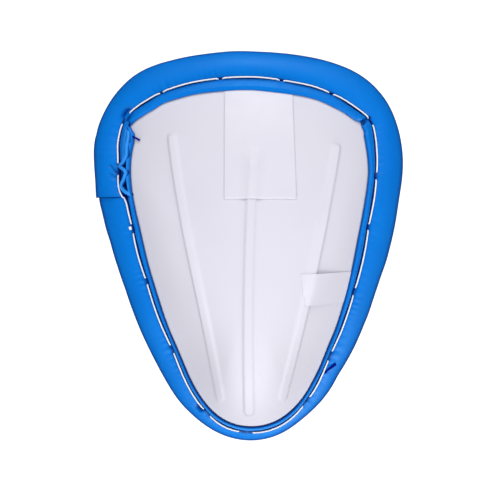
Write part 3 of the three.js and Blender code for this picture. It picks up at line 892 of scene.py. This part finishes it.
def binding_section(s):
    """The section at each station: way down the wall, out from it, painted shade in creases, painted
    highlight on folds, share of the roll.
    """
    section = []

    def put(down, out, crease_shade=0.0, pale=0.0, roll=0.0):
        section.append(np.stack(np.broadcast_arrays(down, out, crease_shade, pale, roll, s.t)[:5], 1))

    bend = wall_bend(s) / s.hem**2
    lip = lip_place(s)
    lean = ramp(*HEM_LEANS, s.steep)
    shade = ramp(*HEM_SHADES, s.steep)
    shine = ramp(*HEM_SHINES, s.steep) ** SHINE_POWER
    for row in HEM_PROFILE_ROWS:
        p = SimpleNamespace(**dict(zip(HEM_PROFILE_COLUMNS, row)))
        down = p.past - s.hem + p.at * (lip + s.hem)
        high = p.high + p.steep * lean + p.split * s.split + p.sunk * s.cavity + p.pinch * s.pinch
        out = GAP + bend * np.minimum(down, 0) ** 2 + high * s.hem_thick
        crease_shade = np.maximum(p.dark + p.dark_steep * shade**p.power, p.dark_split * s.split)
        crease_shade = np.maximum(crease_shade, p.dark_sunk * s.cavity)
        put(down, out, crease_shade, p.pale_split * s.split + p.pale_steep * shine)
    # The groove's floor is painted fully dark, as shade.
    put((lip + s.seam) / 2 + GROOVE_PAST, GROOVE_HIGH - GROOVE_PINCH * s.pinch, 1.0)
    # Round the roll, the side next to the thread is painted darker as shade.
    for angle in ROLL_ANGLES:
        dark = smoothstep(s.ride + RIDE_DARK[0], s.ride + RIDE_DARK[1], angle)
        put(*roll_point(s, math.radians(angle)), dark, 0.0, (1 + math.cos(math.radians(angle))) / 2)
    for angle in reversed(ROLL_ANGLES):
        down, out = roll_point(s, -math.radians(angle))
        if angle > 90:
            out = np.minimum(out, -WALL - CLEAR)
        put(down, out, 0.0, 0.0, (1 + math.cos(math.radians(angle))) / 2)
    for at_groove, down, out, dark in BACK_ROWS:
        put(s.seam + down if at_groove else down, out - WALL - GAP, dark)
    put(EDGE_REACH + GAP, GAP)
    put(0, GAP)
    return refine(np.stack(section, 1))


def grid_normals(points):
    """Normals of a grid that is closed both ways."""
    down = np.roll(points, -1, 0) - np.roll(points, 1, 0)
    over = np.roll(points, -1, 1) - np.roll(points, 1, 1)
    return unit(np.cross(down, over))


def press_creases(points, normals, crease_shade):
    """Presses the creases and dents into the side of the binding that is seen from above, and paints shade
    into them.
    """
    for x0, y0, x1, y1, width, depth, dark in CREASE_ROWS.values():
        distance, _ = from_segment(points[..., 0], points[..., 1], (x0, y0, x1, y1))
        near = np.exp(-((distance / width) ** 2)) * smoothstep(*SEEN_TURN, normals[..., 2])
        points -= (depth * near)[..., None] * normals
        crease_shade += dark * near
    return points, np.clip(crease_shade, 0, 1)


def level_lap(s, points):
    """Draws the vinyl along the rim beside the lap, so that the lap's edge runs level across the roll."""
    away = apart(s.travel, lap_travel)
    at_lap = np.argmin(np.abs(away))
    tangent = s.tangent[at_lap]
    shift = (LAP_Y - points[at_lap, :, 1]) / tangent[1]
    near = np.exp(-((away / LAP_REACH) ** 2))
    return points + near[:, None, None] * shift[None, :, None] * tangent


def padding(s, points):
    """How far the foam pushes the roll's cover: a coarse copy is blown up as cloth, held at its seams."""
    marks = np.arange(0, PERIMETER, CLOTH_PITCH)
    rows = np.unique([np.argmin(np.abs(s.travel - mark)) for mark in marks])
    coarse = points[rows][:, ::2]
    count, columns = coarse.shape[:2]
    free = np.zeros(columns)
    free[CLOTH_FIRST:CLOTH_LAST] = 1
    slack = coarse - (CLOTH_SLACK * free)[None, :, None] * grid_normals(coarse)
    mesh = bpy.data.meshes.new("padding")
    faces = grid_faces(count, columns, True, True)
    mesh.from_pydata((slack * CLOTH_SCALE).reshape(-1, 3).tolist(), [], faces.tolist())
    cover = bpy.data.objects.new("padding", mesh)
    bpy.context.scene.collection.objects.link(cover)
    held = cover.vertex_groups.new(name="held")
    held.add(np.flatnonzero(np.tile(free == 0, count)).tolist(), 1.0, "REPLACE")
    cloth = cover.modifiers.new("cloth", "CLOTH")
    cloth.settings.vertex_group_mass = held.name
    cloth.settings.use_internal_springs = True
    cloth.settings.use_pressure = True
    cloth.settings.uniform_pressure_force = CLOTH_PRESSURE
    cloth.settings.effector_weights.gravity = 0
    cloth.collision_settings.use_collision = False
    for number in range(1, CLOTH_FRAMES + 1):
        bpy.context.scene.frame_set(number)
    blown = np.empty(count * columns * 3, np.float32)
    cover.evaluated_get(bpy.context.evaluated_depsgraph_get()).data.vertices.foreach_get("co", blown)
    bpy.data.objects.remove(cover)
    bpy.data.meshes.remove(mesh)
    bpy.context.scene.frame_set(1)
    moved = blown.reshape(coarse.shape) / CLOTH_SCALE - coarse
    size = np.linalg.norm(moved, axis=2, keepdims=True)
    moved *= np.minimum(1, CLOTH_MOST / np.maximum(size, CLOTH_MOST))
    near = np.exp(-((np.arange(-CLOTH_BLUR, CLOTH_BLUR + 1) / (0.5 * CLOTH_BLUR)) ** 2))
    moved = sum(share * np.roll(moved, k - CLOTH_BLUR, 0) for k, share in enumerate(near / near.sum()))
    moved = (np.roll(moved, 1, 1) + 2 * moved + np.roll(moved, -1, 1)) / 4
    moved = refine(moved).reshape(count, -1)
    looks = [np.interp(s.travel, s.travel[rows], column, period=PERIMETER) for column in moved.T]
    return np.stack(looks, 1).reshape(points.shape)


def make_binding(material):
    """The roll and both hems as one closed grid round the rim."""
    travel = np.arange(RING_COUNT) * PERIMETER / RING_COUNT
    s = sewn_stations(np.sort(np.concatenate([travel, lap_travel + np.array(LAP_CLUSTER)])))
    down, out, crease_shade, pale, roll = np.moveaxis(binding_section(s), 2, 0)
    points = s.stitch[:, None] + down[..., None] * s.down[:, None] + out[..., None] * s.normal[:, None]
    points += (s.swell[:, None] * roll)[..., None] * s.outward[:, None]
    points = level_lap(s, points)
    points = points + padding(s, points)
    # A painted shadow line runs along the lap's edge, on the roll.
    at_edge = np.exp(-(((apart(s.travel, lap_travel) - LAP_LINE) / LAP_LINE_HALF) ** 2))
    crease_shade = crease_shade + LAP_DARK * at_edge[:, None] * (roll > 0)
    # Painted shade: the roll's lower part is marked darker where its face turns down.
    under = smoothstep(*UNDER_ROLL, roll) * (1 - smoothstep(*UNDER_TURN, grid_normals(points)[..., 2]))
    points, crease_shade = press_creases(points, grid_normals(points), np.clip(crease_shade, 0, 1))
    points[:, :OVER_CUP] = clear_of_cup(points[:, :OVER_CUP])
    points[..., 2] = np.maximum(points[..., 2], 0)
    rows, columns = crease_shade.shape
    faces = grid_faces(rows, columns, True, True)
    marks = {"crease_shade": crease_shade, "pale": np.clip(pale, 0, 1), "under": under}
    return add_mesh("binding", points.reshape(-1, 3), faces, material, **marks), points


# The sewing thread

SINK = 1.5  # way along the rim over which the thread dives into a hole
DEPTH = 1.7
THREAD_STEP = 0.35
THREAD_PITCH = 2.0
STITCH_SWAY = 2.5  # degrees round the roll, at the middle of a stitch
SWELL_SHARE, DIVE_IN = 0.02, 0.35  # how far it follows the roll's swell, and dives in at a hole
# A back stitch: its way past its holes and in from the groove, its bow, and its steps
BACK_PAST, BACK_INSIDE, BACK_RISE, BACK_STEPS = 1.0, 0.3, 1.1, 14
KNOT_BEARING, KNOT_SWAY = 170.9, 6
KNOT_SIZE, KNOT_RADIUS, KNOT_STEPS, KNOT_LEAN = 0.19, 0.3, 60, 0.3


def front_stitch(start, end):
    """One long stitch on the front, from hole to hole."""
    travel = np.linspace(start, end, int((end - start) / THREAD_STEP))
    s = sewn_stations(travel)
    dive = 1 - smoothstep(0, SINK, np.minimum(travel - start, end - travel))
    sway = STITCH_SWAY * np.sin(np.pi * (travel - start) / (end - start))
    down, out = thread_place(s, sway)
    path = on_wall(s, down, out)
    path += (s.swell * SWELL_SHARE - DIVE_IN * dive)[:, None] * s.outward
    path[:, 2] -= DEPTH * dive
    return plied(path, s.normal, THREAD_RADIUS, THREAD_PITCH)


def back_stitch(middle, half):
    """The short stitch on the body side that joins two long ones."""
    travel = np.linspace(middle - half - BACK_PAST, middle + half + BACK_PAST, BACK_STEPS)
    s = sewn_stations(travel)
    over = np.sin(np.linspace(0, np.pi, len(travel)))
    path = on_wall(s, s.seam - BACK_INSIDE, -WALL - BACK_RISE * over)
    return plied(path, s.normal, THREAD_RADIUS, THREAD_PITCH)


def knot():
    """The knot that ends the thread."""
    s = sewn_stations(travel_at([KNOT_BEARING]))
    down, out = thread_place(s, KNOT_SWAY)
    centre = on_wall(s, down, out)[0]
    u = np.linspace(0, 2 * np.pi, KNOT_STEPS)
    across = np.sin(u) + 2 * np.sin(2 * u)
    along = np.cos(u) - 2 * np.cos(2 * u)
    raised = -np.sin(3 * u)
    loop = across[:, None] * s.down + along[:, None] * s.tangent + raised[:, None] * s.normal
    return tube(centre + KNOT_SIZE * loop, s.normal[0] + KNOT_LEAN * s.down[0], KNOT_RADIUS)


def make_stitching(material):
    parts = []
    following = np.append(stitch_travel[1:], stitch_travel[0] + PERIMETER)
    for k, (start, end) in enumerate(zip(stitch_travel, following)):
        hidden, next_hidden = stitch_hidden[k], stitch_hidden[(k + 1) % len(stitch_hidden)]
        parts.append(front_stitch(start + hidden - 0.5 * SINK, end - next_hidden + 0.5 * SINK))
        parts.append(back_stitch(start, hidden))
    parts.append(knot())
    return add_mesh("stitching", *join(parts), material)


# Loose ends and the ruffled end of the hem

RUFFLE_POINTS = [
    (-52.5, 49.0), (-52.4, 45.5), (-52.7, 42.0), (-52.9, 38.2), (-54.4, 35.3), (-55.5, 33.9), (-54.6, 32.8),
    (-53.1, 31.4), (-53.5, 29.2), (-54.9, 26.0), (-55.0, 24.9), (-53.6, 23.1), (-52.2, 22.1), (-52.1, 21.2),
]
RUFFLE_CREST, RUFFLE_FOOT, RUFFLE_HALF = 2.2, 0.5, 0.7
RUFFLE_START, RUFFLE_END = 0.25, 0.06  # shares of its length over which it rises and sinks
RUFFLE_FLANK = 1.04  # where a flank's upper edge lies aside, as a share of its half width
RUFFLE_FOOT_ASIDE, RUFFLE_FLANK_HIGH, RUFFLE_SINK = 1.3, -0.6, 0.8
RUFFLE_STEP, RUFFLE_ROUND, FLANK_DARK = 0.3, 7, 0.65
LOOSE_END_ON_CUP = [(-50.9, 46.6), (-49.6, 46.2), (-48.3, 45.6), (-46.7, 44.7)]
LOOSE_END_ON_ROLL = [(31.9, -54.6), (32.9, -53.4), (34.6, -52.0), (36.5, -50.6)]
LOOSE_STEP, LOOSE_PLIES = 0.25, 2
CUP_END_LIFT, CUP_END_BOW, CUP_END_RADIUS, CUP_END_PITCH = 0.55, 0.35, 0.52, 1.8
ROLL_END_LOOK, ROLL_END_LIFT, ROLL_END_RADII, ROLL_END_PITCH = 0.7, 0.15, (0.32, 0.72), 2.0


def wall_frame(x, y, out):
    """The wall's normal at a place in plan, and the point there that is this far out from the wall."""
    offset = np.array([x, y]) - fine.stitch[:, :2] - out * fine.normal[:, :2]
    flat = fine.down[:, :2]
    down = (offset * flat).sum(1) / (flat * flat).sum(1)
    miss = np.linalg.norm(offset - down[:, None] * flat, axis=1)
    best = np.argmin(miss + 1e-3 * np.abs(down))
    return fine.normal[best], fine.stitch[best] + down[best] * fine.down[best] + out * fine.normal[best]


def make_ruffle(material):
    """The gathered raw edge of the upper layer, standing in folds beside the thread."""
    plan = smooth_path(RUFFLE_POINTS, RUFFLE_STEP)
    frames = [wall_frame(x, y, RUFFLE_CREST) for x, y in plan]
    normal = np.array([f[0] for f in frames])
    crest = np.array([f[1] for f in frames])
    side = unit(np.cross(unit(np.gradient(crest, axis=0)), normal))
    angle = np.linspace(0, np.pi, RUFFLE_ROUND)
    aside = np.array([RUFFLE_FOOT_ASIDE, RUFFLE_FLANK])
    across = np.concatenate([aside, np.cos(angle), -aside[::-1]]) * RUFFLE_HALF
    flank = [RUFFLE_FOOT - RUFFLE_CREST, RUFFLE_FLANK_HIGH]
    high = np.concatenate([flank, RUFFLE_HALF * np.sin(angle), flank[::-1]])
    share = np.linspace(0, 1, len(plan))
    ends = smoothstep(0, RUFFLE_START, share) * smoothstep(0, RUFFLE_END, 1 - share)
    high = high[None, :] - (1 - ends)[:, None] * RUFFLE_SINK
    points = crest[:, None] + across[None, :, None] * side[:, None] + high[..., None] * normal[:, None]
    points = clear_of_cup(points)
    rows, columns = high.shape
    faces = grid_faces(rows, columns, close_columns=True).tolist()
    last = (rows - 1) * columns
    faces += [list(range(columns))[::-1], list(range(last, last + columns))]
    # The ruffle's flanks are painted dark, as shade in its folds, and its crest pale, as a painted
    # highlight.
    dark = np.concatenate([[1, FLANK_DARK], 0 * angle, [FLANK_DARK, 1]])
    marks = {"crease_shade": np.tile(dark, rows), "pale": np.tile(1 - dark, rows)}
    marks["under"] = np.zeros(rows * columns)
    return add_mesh("hem_ruffle", points.reshape(-1, 3), faces, material, **marks)


def make_loose_ends(material, binding_points):
    on_cup = smooth_path(LOOSE_END_ON_CUP, LOOSE_STEP)
    lift = CUP_END_LIFT + CUP_END_BOW * np.sin(np.linspace(0, np.pi, len(on_cup)))
    first = over_cup(on_cup[:, 0], on_cup[:, 1], lift)
    on_roll = smooth_path(LOOSE_END_ON_ROLL, LOOSE_STEP)
    flat = binding_points.reshape(-1, 3)
    heights = []
    for x, y in on_roll:
        near = np.hypot(flat[:, 0] - x, flat[:, 1] - y) < ROLL_END_LOOK
        heights.append(flat[near][:, 2].max() + ROLL_END_LIFT)
    second = np.column_stack([on_roll, heights])
    up = np.array([0.0, 0.0, 1.0])
    widening = np.linspace(*ROLL_END_RADII, len(second))
    parts = [
        plied(first, up, CUP_END_RADIUS, CUP_END_PITCH, LOOSE_PLIES),
        plied(second, up, widening, ROLL_END_PITCH, LOOSE_PLIES),
    ]
    return add_mesh("loose_thread_ends", *join(parts), material)


# The film label and tag

# Each film's outline in plan. The label leans by its lean over its height, and its tent over the
# middle rib is this wide, fades this far past the rib's end and eases it clear. The tag climbs from
# its start to its crest, beside the right rib, and falls to the hem from there.
LABEL = SimpleNamespace(
    left=-11.0, right=19.8, lean=1.6, foot=19.6, top=66.0, thick=0.22,
    tent=5.5, power=1.6, fade=9.0, ease=0.15,
)
TAG = SimpleNamespace(
    left=21.4, slant=0.12, top=-12.3, foot=-25.4, thick=0.16, rise=1.3, fall=1.9, tent=1.38,
    crest=1.5, climb=(3.9, 0.6),
)
TUCK = 1.4  # the film runs this far under the hem's edge
FILM_GAP = 0.05  # between the film and the cup
FILM_STEPS = 48
FILM_BLUR = np.array([1, 2, 3, 2, 1]) / 9  # shares of neighbouring columns
SHARP = math.radians(50)


def hem_edge(axis, value, side):
    """The hem's inner edge in plan, read along one axis on one side."""
    line = fine.stitch - fine.hem[:, None] * fine.down
    other = 1 - axis
    chosen = line[line[:, other] * side > 0]
    order = np.argsort(chosen[:, axis])
    return np.interp(value, chosen[order, axis], chosen[order, other])


def film(name, x, y, lift, thick, material):
    """A thin closed sheet over the cup, from a grid of places in plan."""
    upper = over_cup(x, y, lift + thick).reshape(-1, 3)
    lower = over_cup(x, y, lift).reshape(-1, 3)
    rows, columns = x.shape
    count = rows * columns
    top = grid_faces(rows, columns)
    faces = top.tolist() + (top[:, ::-1] + count).tolist()
    rim_loop = (
        list(range(columns))
        + [r * columns + columns - 1 for r in range(1, rows)]
        + [(rows - 1) * columns + c for c in range(columns - 2, -1, -1)]
        + [r * columns for r in range(rows - 2, 0, -1)]
    )
    for a, b in zip(rim_loop, rim_loop[1:] + rim_loop[:1]):
        faces.append([a, b, b + count, a + count])
    return add_mesh(name, np.concatenate([upper, lower]), faces, material)


def rounded(heights):
    """Heights of a sheet with the kinks across it rounded off."""
    reach = len(FILM_BLUR) // 2
    padded = np.pad(heights, ((0, 0), (reach, reach)), mode="edge")
    return sum(share * padded[:, k : k + heights.shape[1]] for k, share in enumerate(FILM_BLUR))


def rib_middle(rib, y):
    way = (y - rib.top_y) / (rib.foot_y - rib.top_y)
    return rib.top_x + way * (rib.foot_x - rib.top_x) + rib_bow(rib, y)


def make_label(material):
    """The label at the waist end: laid flat, and stretched like a tent over the middle rib."""
    across, along = np.meshgrid(np.linspace(0, 1, FILM_STEPS), np.linspace(0, 1, FILM_STEPS))
    edge = LABEL.left + across * (LABEL.right - LABEL.left)
    top = hem_edge(0, edge, 1) + TUCK
    y = LABEL.foot + along * (top - LABEL.foot)
    x = edge - LABEL.lean * across * (y - LABEL.foot) / (LABEL.top - LABEL.foot)
    rib = ribs["middle"]
    off = np.abs(x - rib_middle(rib, y))
    flank = np.clip((LABEL.tent - off) / (LABEL.tent - rib.flat), 0, 1)
    beyond = np.clip((rib.top_y + LABEL.fade - y) / LABEL.fade, 0, 1)
    tent = np.maximum(RIB_HEIGHT * flank**LABEL.power * beyond, rib_height(x, y))
    tent = tent + LABEL.ease * flank * beyond
    return film("label_film_panel", x, y, FILM_GAP + tent, LABEL.thick, material)


def make_tag(material):
    """The tag on the right: it lies over the rib and comes down to the wall at the hem."""
    across, along = np.meshgrid(np.linspace(0, 1, FILM_STEPS), np.linspace(0, 1, FILM_STEPS))
    level = TAG.foot + along * (TAG.top - TAG.foot)
    start = TAG.left + TAG.slant * (TAG.top - level)
    end = hem_edge(1, level, 1) + TUCK
    x = start + across * (end - start)
    y = level + TAG.rise * across
    crest = rib_middle(ribs["right"], y) + TAG.crest
    climb = smoothstep(crest - TAG.climb[0], crest - TAG.climb[1], x)
    share = np.clip((end - x) / (end - crest), 0, 1) ** TAG.fall * climb
    tent = np.maximum(rounded(TAG.tent * share), rib_height(x, y))
    piece = film("tag_film_panel", x, y, FILM_GAP + tent, TAG.thick, material)
    piece.data.set_sharp_from_angle(angle=SHARP)
    return piece


# Stage

FRAME_PIXELS = 500
PIXEL = 0.4267  # millimetres of the guard to a pixel, at LEVEL above the floor
LEVEL = 14.0
AIM = (0.0, -1.92)
CAMERA_HEIGHT = 3000.0
SENSOR = 36.0
FLOOR_HALF = 6.0
FLOOR_DROP = 0.0003
FLOOR_GLOW = 0.93


def make_camera():
    data = bpy.data.cameras.new("camera")
    data.sensor_width = SENSOR
    data.lens = SENSOR * (CAMERA_HEIGHT - LEVEL) / (FRAME_PIXELS * PIXEL)
    camera = bpy.data.objects.new("camera", data)
    camera.location = (AIM[0] * MM, AIM[1] * MM, CAMERA_HEIGHT * MM)
    bpy.context.scene.collection.objects.link(camera)
    bpy.context.scene.camera = camera


def make_floor():
    """A pale light table, so that hardly any shadow shows round the guard."""
    sockets = {"Roughness": 0.9, "Specular_IOR_Level": 0.1, "Emission_Strength": FLOOR_GLOW}
    material, tree, shader = new_material("floor", **sockets)
    shader.inputs["Emission Color"].default_value = (1, 1, 1, 1)
    cloudy = spread(tree, noise(tree, 6), 0, 1)
    shade = mix_colours(tree, cloudy, (0.42, 0.42, 0.42, 1), (0.44, 0.44, 0.44, 1))
    tree.links.new(shade, shader.inputs["Base Color"])
    mesh = bpy.data.meshes.new("floor")
    half = FLOOR_HALF
    corners = [(-half, -half, 0), (half, -half, 0), (half, half, 0), (-half, half, 0)]
    mesh.from_pydata(corners, [], [(0, 1, 2, 3)])
    mesh.materials.append(material)
    floor = bpy.data.objects.new("floor", mesh)
    floor.location.z = -FLOOR_DROP
    floor.visible_diffuse = False
    floor.visible_glossy = False
    bpy.context.scene.collection.objects.link(floor)


# Softboxes: bearing and elevation of the side they stand on in degrees, width and height, light, and
# whether they are flagged off everything but the vinyl, so that they only make its sheen
LIGHT_ROWS = {
    "foot_softbox": (-86, 24, 2.2, 0.6, 0.8, False),
    "waist_softbox": (86, 30, 1.2, 0.4, 0.38, False),
    "foot_right_sheen": (-60, 10, 0.8, 0.35, 4.4, True),
    "foot_left_sheen": (-114, 12, 0.5, 0.5, 1.5, True),
    "waist_sheen": (85, 29, 1.1, 0.8, 2.9, True),
}
LIGHT_DISTANCE = 1.3
DOME_LIGHT, DOME_LOW = 0.765, 0.1  # above, and below
DOME_RISE = (-0.1, 0.35)  # heights of a direction between which the one runs over into the other


def make_light(vinyl_pieces):
    """An even dome of soft light above the guard, little from below, and low softboxes."""
    vinyl_only = bpy.data.collections.new("vinyl_only")
    for piece in vinyl_pieces:
        vinyl_only.objects.link(piece)
    world = bpy.data.worlds.new("studio")
    bpy.context.scene.world = world
    world.use_nodes = True
    tree = world.node_tree
    direction = add_node(tree, "ShaderNodeTexCoord").outputs["Generated"]
    parts = add_node(tree, "ShaderNodeSeparateXYZ", {"Vector": direction})
    inputs = {"Value": parts.outputs["Z"], "From Min": DOME_RISE[0], "From Max": DOME_RISE[1]}
    inputs.update({"To Min": DOME_LOW, "To Max": DOME_LIGHT})
    strength = add_node(tree, "ShaderNodeMapRange", inputs).outputs["Result"]
    background = tree.nodes["Background"]
    background.inputs["Color"].default_value = (1.0, 0.995, 1.0, 1)
    tree.links.new(strength, background.inputs["Strength"])
    for name, (bearing, elevation, width, height, light, flagged) in LIGHT_ROWS.items():
        data = bpy.data.lights.new(name, "AREA")
        data.shape = "RECTANGLE"
        data.size, data.size_y = width, height
        data.energy = light * (math.pi * LIGHT_DISTANCE) ** 2
        lamp = bpy.data.objects.new(name, data)
        turn, rise = math.radians(bearing), math.radians(elevation)
        side = (math.cos(turn) * math.cos(rise), math.sin(turn) * math.cos(rise), math.sin(rise))
        lamp.location = [LIGHT_DISTANCE * part for part in side]
        lamp.rotation_euler = (math.pi / 2 - rise, 0, turn + math.pi / 2)
        bpy.context.scene.collection.objects.link(lamp)
        if flagged:
            lamp.visible_diffuse = False
            lamp.light_linking.receiver_collection = vinyl_only
    bpy.context.scene.view_settings.view_transform = "Standard"


# Assembly

make_camera()
make_floor()

vinyl = vinyl_material()
# The white thread is given a small glow, painted light that brightens it.
white_thread = thread_material("white_thread", (0.99, 0.98, 0.99, 1), (0.92, 0.91, 0.93, 1), 0.25, 0.15)
navy_thread = thread_material("navy_thread", (0.001, 0.008, 0.33, 1), (0.0005, 0.003, 0.2, 1), 0.0, 0.0)

cup = make_cup(plastic_material())
binding, binding_points = make_binding(vinyl)
label = make_label(film_material("label_film", 0.768))
# The tag's film is painted a little lighter than the label's, to offset the shade where it slopes down to
# the hem.
tag = make_tag(film_material("tag_film", 0.79))
stitching = make_stitching(white_thread)
ruffle = make_ruffle(vinyl)
loose_ends = make_loose_ends(navy_thread, binding_points)
make_light([binding, ruffle])

for piece, slot in [
    (cup, "cup_plastic"),
    (binding, "blue_vinyl"),
    (label, "label_film"),
    (tag, "tag_film"),
    (stitching, "blue_vinyl"),
    (ruffle, "blue_vinyl"),
    (loose_ends, "blue_vinyl"),
]:
    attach(piece, BODY)

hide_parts("cup")
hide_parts("padded_binding")
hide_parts("front_label")
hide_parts("side_tag")
